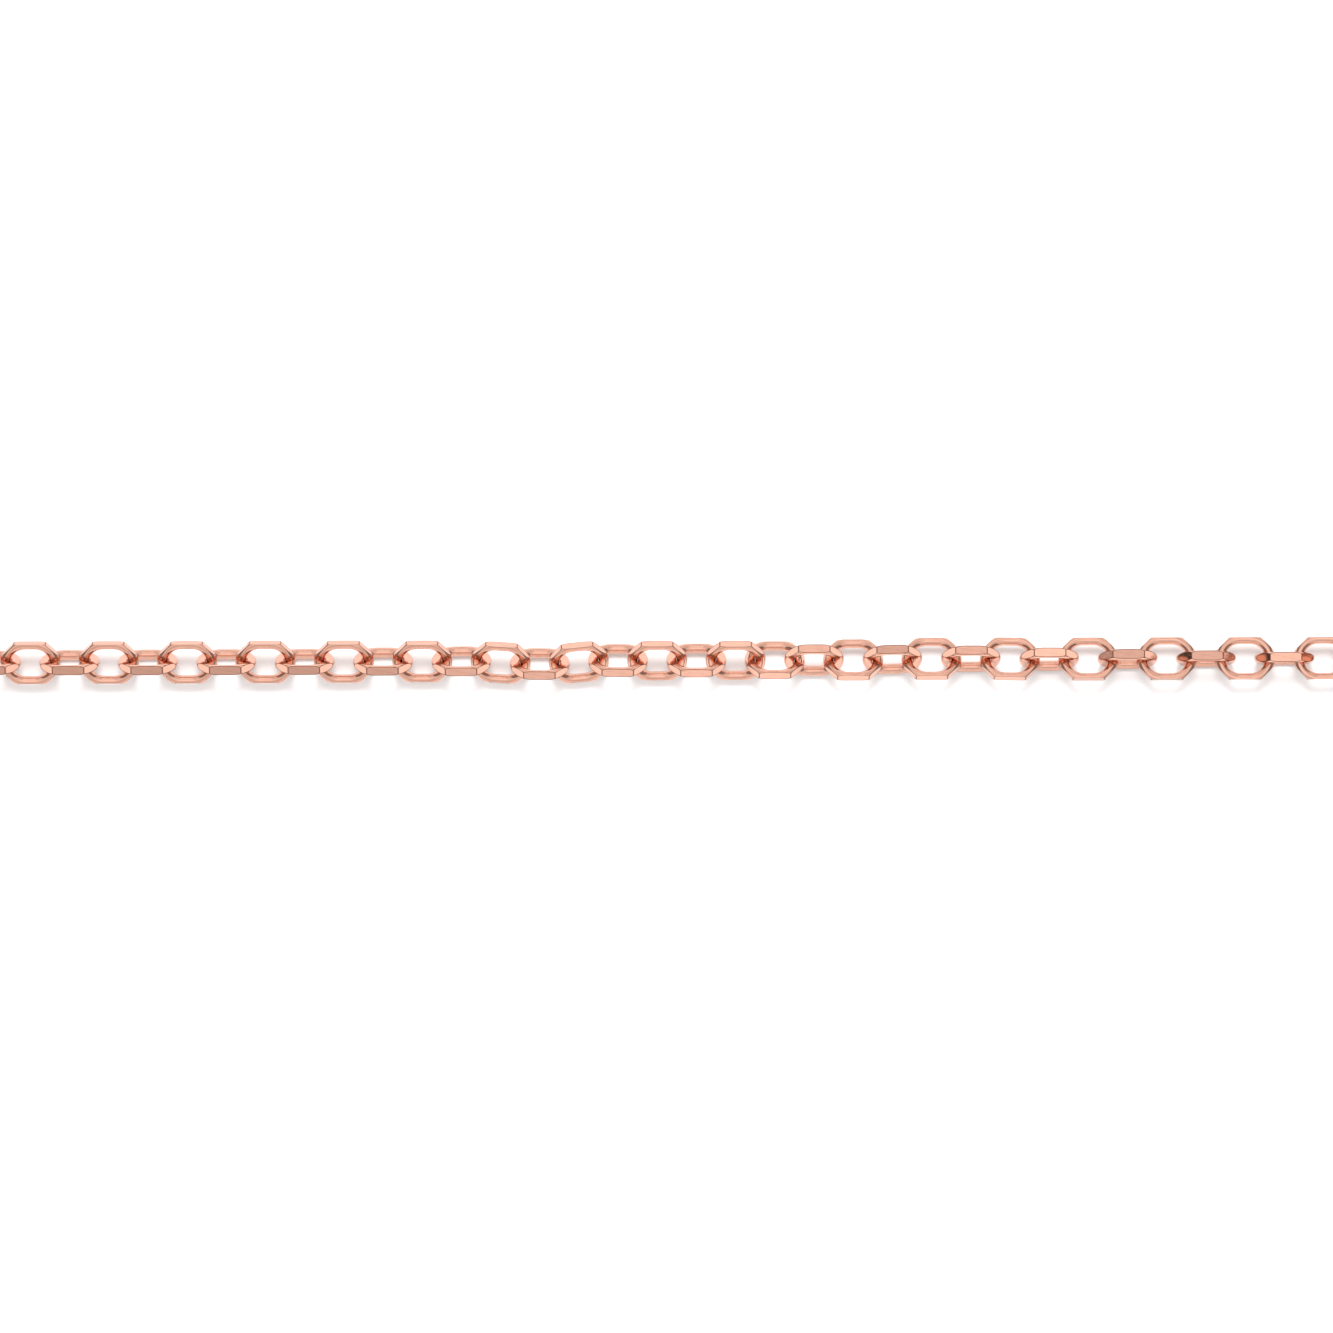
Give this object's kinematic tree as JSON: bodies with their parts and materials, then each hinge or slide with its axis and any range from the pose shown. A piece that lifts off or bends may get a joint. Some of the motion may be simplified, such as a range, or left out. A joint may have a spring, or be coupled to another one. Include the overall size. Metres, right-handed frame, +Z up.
{
  "type": "chain necklace",
  "caption": "Diamond-cut oval cable chain necklace in rose gold, lying unfastened, with a lobster clasp on one end and a plain ring on the other.",
  "frame": {"origin": "under the middle of the necklace's box, on the surface that it lies on", "axes": "+Z up; the straight front run lies along X at the low-Y side; the two arms run towards +Y"},
  "size_m": [0.1478, 0.1758, 0.0034],
  "materials": {
    "rose_gold": "polished",
    "spring_steel": "plain"
  },
  "bodies": {
    "link_middle": {"link_middle": "rose_gold"},
    "link_left_01": {"link_left_01": "rose_gold"},
    "link_left_02": {"link_left_02": "rose_gold"},
    "link_left_03": {"link_left_03": "rose_gold"},
    "link_left_04": {"link_left_04": "rose_gold"},
    "link_left_05": {"link_left_05": "rose_gold"},
    "link_left_06": {"link_left_06": "rose_gold"},
    "link_left_07": {"link_left_07": "rose_gold"},
    "link_left_08": {"link_left_08": "rose_gold"},
    "link_left_09": {"link_left_09": "rose_gold"},
    "link_left_10": {"link_left_10": "rose_gold"},
    "link_left_11": {"link_left_11": "rose_gold"},
    "link_left_12": {"link_left_12": "rose_gold"},
    "link_left_13": {"link_left_13": "rose_gold"},
    "link_left_14": {"link_left_14": "rose_gold"},
    "link_left_15": {"link_left_15": "rose_gold"},
    "link_left_16": {"link_left_16": "rose_gold"},
    "link_left_17": {"link_left_17": "rose_gold"},
    "link_right_01": {"link_right_01": "rose_gold"},
    "link_right_02": {"link_right_02": "rose_gold"},
    "link_right_03": {"link_right_03": "rose_gold"},
    "link_right_04": {"link_right_04": "rose_gold"},
    "link_right_05": {"link_right_05": "rose_gold"},
    "link_right_06": {"link_right_06": "rose_gold"},
    "link_right_07": {"link_right_07": "rose_gold"},
    "link_right_08": {"link_right_08": "rose_gold"},
    "link_right_09": {"link_right_09": "rose_gold"},
    "link_right_10": {"link_right_10": "rose_gold"},
    "link_right_11": {"link_right_11": "rose_gold"},
    "link_right_12": {"link_right_12": "rose_gold"},
    "link_right_13": {"link_right_13": "rose_gold"},
    "link_right_14": {"link_right_14": "rose_gold"},
    "link_right_15": {"link_right_15": "rose_gold"},
    "link_right_16": {"link_right_16": "rose_gold"},
    "link_right_17": {"link_right_17": "rose_gold"},
    "link_right_18": {"link_right_18": "rose_gold"},
    "chain_left_01": {"chain_left_01": "rose_gold"},
    "chain_left_02": {"chain_left_02": "rose_gold"},
    "chain_left_03": {"chain_left_03": "rose_gold"},
    "chain_left_04": {"chain_left_04": "rose_gold"},
    "chain_left_05": {"chain_left_05": "rose_gold"},
    "chain_left_06": {"chain_left_06": "rose_gold"},
    "chain_left_07": {"chain_left_07": "rose_gold"},
    "chain_left_08": {"chain_left_08": "rose_gold"},
    "chain_left_09": {"chain_left_09": "rose_gold"},
    "chain_right_01": {"chain_right_01": "rose_gold"},
    "chain_right_02": {"chain_right_02": "rose_gold"},
    "chain_right_03": {"chain_right_03": "rose_gold"},
    "chain_right_04": {"chain_right_04": "rose_gold"},
    "chain_right_05": {"chain_right_05": "rose_gold"},
    "chain_right_06": {"chain_right_06": "rose_gold"},
    "chain_right_07": {"chain_right_07": "rose_gold"},
    "chain_right_08": {"chain_right_08": "rose_gold"},
    "chain_right_09": {"chain_right_09": "rose_gold"},
    "jump_ring": {"jump_ring": "rose_gold"},
    "clasp": {"clasp_body": "rose_gold", "clasp_pin": "rose_gold", "clasp_spring": "spring_steel"},
    "clasp_lever": {"clasp_lever": "rose_gold"},
    "end_ring": {"end_ring": "rose_gold"}
  },
  "joints": [
    {"name": "clasp_lever_press", "type": "hinge", "parent": "clasp", "child": "clasp_lever", "pos_m": [-0.06967, 0.08153, 0.0011], "axis": [0, 0, 1], "range_deg": [0, 18], "stiffness_Nm_per_rad": 0.002, "springref_deg": -17.19, "deforming": ["clasp_spring"]},
    {"name": "clasp_swing", "type": "hinge", "parent": "jump_ring", "child": "clasp", "pos_m": [-0.06968, 0.07891, 0.0011], "axis": [0, 0, 1], "range_deg": [-45, 45]},
    {"name": "jump_ring_swing", "type": "hinge", "parent": "chain_left_09", "child": "jump_ring", "pos_m": [-0.06953, 0.0769, 0.00113], "axis": [0.997, 0.078, 0], "range_deg": [-40, 40]},
    {"name": "end_ring_swing", "type": "hinge", "parent": "chain_right_09", "child": "end_ring", "pos_m": [0.07185, 0.07485, 0.00113], "axis": [0, 0, 1], "range_deg": [-60, 60]},
    {"name": "left_link_01_rock", "type": "hinge", "parent": "link_middle", "child": "link_left_01", "pos_m": [-0.0011, -0.08672, 0.00113], "axis": [0, 0.796, 0.6053], "range_deg": [-45, 45]},
    {"name": "right_link_01_rock", "type": "hinge", "parent": "link_middle", "child": "link_right_01", "pos_m": [0.00151, -0.08672, 0.00113], "axis": [0, 0.796, 0.6053], "range_deg": [-45, 45]},
    {"name": "left_link_02_rock", "type": "hinge", "parent": "link_left_01", "child": "link_left_02", "pos_m": [-0.00315, -0.08669, 0.00113], "axis": [0.0072, 0.593, -0.8052], "range_deg": [-45, 45]},
    {"name": "right_link_02_rock", "type": "hinge", "parent": "link_right_01", "child": "link_right_02", "pos_m": [0.00356, -0.08672, 0.00113], "axis": [0, 0.6174, -0.7867], "range_deg": [-45, 45]},
    {"name": "left_link_03_rock", "type": "hinge", "parent": "link_left_02", "child": "link_left_03", "pos_m": [-0.00519, -0.08692, 0.00113], "axis": [0.078, -0.8104, -0.5807], "range_deg": [-45, 45]},
    {"name": "right_link_03_rock", "type": "hinge", "parent": "link_right_02", "child": "link_right_03", "pos_m": [0.00562, -0.08672, 0.00113], "axis": [0, -0.7771, -0.6293], "range_deg": [-45, 45]},
    {"name": "left_link_04_rock", "type": "hinge", "parent": "link_left_03", "child": "link_left_04", "pos_m": [-0.00725, -0.08686, 0.00113], "axis": [-0.0078, -0.5571, 0.8304], "range_deg": [-45, 45]},
    {"name": "right_link_04_rock", "type": "hinge", "parent": "link_right_03", "child": "link_right_04", "pos_m": [0.00767, -0.08672, 0.00113], "axis": [0, -0.7431, 0.6691], "range_deg": [-45, 45]},
    {"name": "left_link_05_rock", "type": "hinge", "parent": "link_left_04", "child": "link_left_05", "pos_m": [-0.0093, -0.0867, 0.00113], "axis": [0.059, 0.844, 0.5331], "range_deg": [-45, 45]},
    {"name": "right_link_05_rock", "type": "hinge", "parent": "link_right_04", "child": "link_right_05", "pos_m": [0.00972, -0.08672, 0.00113], "axis": [0, 0.5446, 0.8387], "range_deg": [-45, 45]},
    {"name": "left_link_06_rock", "type": "hinge", "parent": "link_left_05", "child": "link_left_06", "pos_m": [-0.01135, -0.08672, 0.00113], "axis": [0, 0.5086, -0.861], "range_deg": [-45, 45]},
    {"name": "right_link_06_rock", "type": "hinge", "parent": "link_right_05", "child": "link_right_06", "pos_m": [0.01178, -0.08672, 0.00113], "axis": [0, 0.8594, -0.5113], "range_deg": [-45, 45]},
    {"name": "left_link_07_rock", "type": "hinge", "parent": "link_left_06", "child": "link_left_07", "pos_m": [-0.0134, -0.08672, 0.00113], "axis": [0, -0.8752, -0.4837], "range_deg": [-45, 45]},
    {"name": "right_link_07_rock", "type": "hinge", "parent": "link_right_06", "child": "link_right_07", "pos_m": [0.01383, -0.08667, 0.00113], "axis": [0.01, -0.4771, -0.8788], "range_deg": [-45, 45]},
    {"name": "left_link_08_rock", "type": "hinge", "parent": "link_left_07", "child": "link_left_08", "pos_m": [-0.01546, -0.08672, 0.00113], "axis": [0, -0.4584, 0.8887], "range_deg": [-45, 45]},
    {"name": "right_link_08_rock", "type": "hinge", "parent": "link_right_07", "child": "link_right_08", "pos_m": [0.01588, -0.08668, 0.00113], "axis": [0, -0.8969, 0.4423], "range_deg": [-45, 45]},
    {"name": "left_link_09_rock", "type": "hinge", "parent": "link_left_08", "child": "link_left_09", "pos_m": [-0.01751, -0.08672, 0.00113], "axis": [0, 0.9015, 0.4328], "range_deg": [-45, 45]},
    {"name": "right_link_09_rock", "type": "hinge", "parent": "link_right_08", "child": "link_right_09", "pos_m": [0.01793, -0.08668, 0.00113], "axis": [0, 0.4067, 0.9135], "range_deg": [-45, 45]},
    {"name": "left_link_10_rock", "type": "hinge", "parent": "link_left_09", "child": "link_left_10", "pos_m": [-0.01956, -0.08672, 0.00113], "axis": [0, 0.4067, -0.9135], "range_deg": [-45, 45]},
    {"name": "right_link_10_rock", "type": "hinge", "parent": "link_right_09", "child": "link_right_10", "pos_m": [0.01999, -0.08673, 0.00113], "axis": [0.0195, 0.9302, -0.3665], "range_deg": [-45, 45]},
    {"name": "left_link_11_rock", "type": "hinge", "parent": "link_left_10", "child": "link_left_11", "pos_m": [-0.02161, -0.08672, 0.00113], "axis": [0, -0.915, -0.4035], "range_deg": [-45, 45]},
    {"name": "right_link_11_rock", "type": "hinge", "parent": "link_right_10", "child": "link_right_11", "pos_m": [0.02204, -0.08672, 0.00113], "axis": [0, -0.3256, -0.9455], "range_deg": [-45, 45]},
    {"name": "left_link_12_rock", "type": "hinge", "parent": "link_left_11", "child": "link_left_12", "pos_m": [-0.02367, -0.08672, 0.00113], "axis": [0, -0.4003, 0.9164], "range_deg": [-45, 45]},
    {"name": "right_link_12_rock", "type": "hinge", "parent": "link_right_11", "child": "link_right_12", "pos_m": [0.02409, -0.08672, 0.00113], "axis": [0, -0.9588, 0.284], "range_deg": [-45, 45]},
    {"name": "left_link_13_rock", "type": "hinge", "parent": "link_left_12", "child": "link_left_13", "pos_m": [-0.02572, -0.08672, 0.00113], "axis": [0, 0.9178, 0.3971], "range_deg": [-45, 45]},
    {"name": "right_link_13_rock", "type": "hinge", "parent": "link_right_12", "child": "link_right_13", "pos_m": [0.02615, -0.08672, 0.00113], "axis": [0, 0.2419, 0.9703], "range_deg": [-45, 45]},
    {"name": "left_link_14_rock", "type": "hinge", "parent": "link_left_13", "child": "link_left_14", "pos_m": [-0.02777, -0.08672, 0.00113], "axis": [0, 0.3939, -0.9191], "range_deg": [-45, 45]},
    {"name": "right_link_14_rock", "type": "hinge", "parent": "link_right_13", "child": "link_right_14", "pos_m": [0.0282, -0.08672, 0.00113], "axis": [0, 0.9799, -0.1994], "range_deg": [-45, 45]},
    {"name": "left_link_15_rock", "type": "hinge", "parent": "link_left_14", "child": "link_left_15", "pos_m": [-0.02983, -0.08672, 0.00113], "axis": [0, -0.9205, -0.3907], "range_deg": [-45, 45]},
    {"name": "right_link_15_rock", "type": "hinge", "parent": "link_right_14", "child": "link_right_15", "pos_m": [0.03025, -0.08672, 0.00113], "axis": [0, -0.1564, -0.9877], "range_deg": [-45, 45]},
    {"name": "left_link_16_rock", "type": "hinge", "parent": "link_left_15", "child": "link_left_16", "pos_m": [-0.03188, -0.08672, 0.00113], "axis": [0, -0.3827, 0.9239], "range_deg": [-45, 45]},
    {"name": "right_link_16_rock", "type": "hinge", "parent": "link_right_15", "child": "link_right_16", "pos_m": [0.03231, -0.08672, 0.00113], "axis": [0, -0.9936, 0.1132], "range_deg": [-45, 45]},
    {"name": "left_link_17_rock", "type": "hinge", "parent": "link_left_16", "child": "link_left_17", "pos_m": [-0.03393, -0.08672, 0.00113], "axis": [0, 0.9272, 0.3746], "range_deg": [-45, 45]},
    {"name": "right_link_17_rock", "type": "hinge", "parent": "link_right_16", "child": "link_right_17", "pos_m": [0.03436, -0.08672, 0.00113], "axis": [0, 0.0698, 0.9976], "range_deg": [-45, 45]},
    {"name": "right_link_18_rock", "type": "hinge", "parent": "link_right_17", "child": "link_right_18", "pos_m": [0.03641, -0.08672, 0.00113], "axis": [0, 0.9983, -0.0581], "range_deg": [-45, 45]},
    {"name": "left_chain_01_swing", "type": "hinge", "parent": "link_left_17", "child": "chain_left_01", "pos_m": [-0.03599, -0.08672, 0.00113], "axis": [0, -0.3665, 0.9304], "range_deg": [-45, 45]},
    {"name": "right_chain_01_swing", "type": "hinge", "parent": "link_right_18", "child": "chain_right_01", "pos_m": [0.03846, -0.08672, 0.00113], "axis": [0, 0.0465, 0.9989], "range_deg": [-45, 45]},
    {"name": "left_chain_02_swing", "type": "hinge", "parent": "chain_left_01", "child": "chain_left_02", "pos_m": [-0.05345, -0.08134, 0.00113], "axis": [-0.4791, -0.8299, -0.2859], "range_deg": [-45, 45]},
    {"name": "right_chain_02_swing", "type": "hinge", "parent": "chain_right_01", "child": "chain_right_02", "pos_m": [0.05593, -0.08134, 0.00113], "axis": [0.5, -0.866, 0], "range_deg": [-45, 45]},
    {"name": "left_chain_03_swing", "type": "hinge", "parent": "chain_left_02", "child": "chain_left_03", "pos_m": [-0.06656, -0.06661, 0.00113], "axis": [0.1436, 0.062, -0.9877], "range_deg": [-45, 45]},
    {"name": "right_chain_03_swing", "type": "hinge", "parent": "chain_right_02", "child": "chain_right_03", "pos_m": [0.06904, -0.06661, 0.00113], "axis": [0, 0, -1], "range_deg": [-45, 45]},
    {"name": "left_chain_04_swing", "type": "hinge", "parent": "chain_left_03", "child": "chain_left_04", "pos_m": [-0.06985, -0.04603, 0.00113], "axis": [0.9983, -0.0315, 0.0483], "range_deg": [-45, 45]},
    {"name": "right_chain_04_swing", "type": "hinge", "parent": "chain_right_03", "child": "chain_right_04", "pos_m": [0.07233, -0.04603, 0.00113], "axis": [-0.9995, -0.0315, 0], "range_deg": [-45, 45]},
    {"name": "left_chain_05_swing", "type": "hinge", "parent": "chain_left_04", "child": "chain_left_05", "pos_m": [-0.06836, -0.02612, 0.00113], "axis": [0, 0, 1], "range_deg": [-45, 45]},
    {"name": "right_chain_05_swing", "type": "hinge", "parent": "chain_right_04", "child": "chain_right_05", "pos_m": [0.07083, -0.02612, 0.00113], "axis": [0, 0, 1], "range_deg": [-45, 45]},
    {"name": "left_chain_06_swing", "type": "hinge", "parent": "chain_left_05", "child": "chain_left_06", "pos_m": [-0.0685, -0.00505, 0.00113], "axis": [-0.9976, -0.0696, 0], "range_deg": [-45, 45]},
    {"name": "right_chain_06_swing", "type": "hinge", "parent": "chain_right_05", "child": "chain_right_06", "pos_m": [0.0708, -0.00765, 0.00113], "axis": [0.9976, -0.0696, 0], "range_deg": [-45, 45]},
    {"name": "left_chain_07_swing", "type": "hinge", "parent": "chain_left_06", "child": "chain_left_07", "pos_m": [-0.06992, 0.01487, 0.00113], "axis": [0, 0, -1], "range_deg": [-45, 45]},
    {"name": "right_chain_07_swing", "type": "hinge", "parent": "chain_right_06", "child": "chain_right_07", "pos_m": [0.07235, 0.01337, 0.00113], "axis": [0, 0, -1], "range_deg": [-45, 45]},
    {"name": "left_chain_08_swing", "type": "hinge", "parent": "chain_left_07", "child": "chain_left_08", "pos_m": [-0.06897, 0.03592, 0.00113], "axis": [0.9962, -0.0868, 0], "range_deg": [-45, 45]},
    {"name": "right_chain_08_swing", "type": "hinge", "parent": "chain_right_07", "child": "chain_right_08", "pos_m": [0.07167, 0.03332, 0.00113], "axis": [-0.9962, -0.0868, 0], "range_deg": [-45, 45]},
    {"name": "left_chain_09_swing", "type": "hinge", "parent": "chain_left_08", "child": "chain_left_09", "pos_m": [-0.06805, 0.05586, 0.00113], "axis": [0, 0, 1], "range_deg": [-45, 45]},
    {"name": "right_chain_09_swing", "type": "hinge", "parent": "chain_right_08", "child": "chain_right_09", "pos_m": [0.07051, 0.05437, 0.00113], "axis": [0, 0, 1], "range_deg": [-45, 45]}
  ]
}
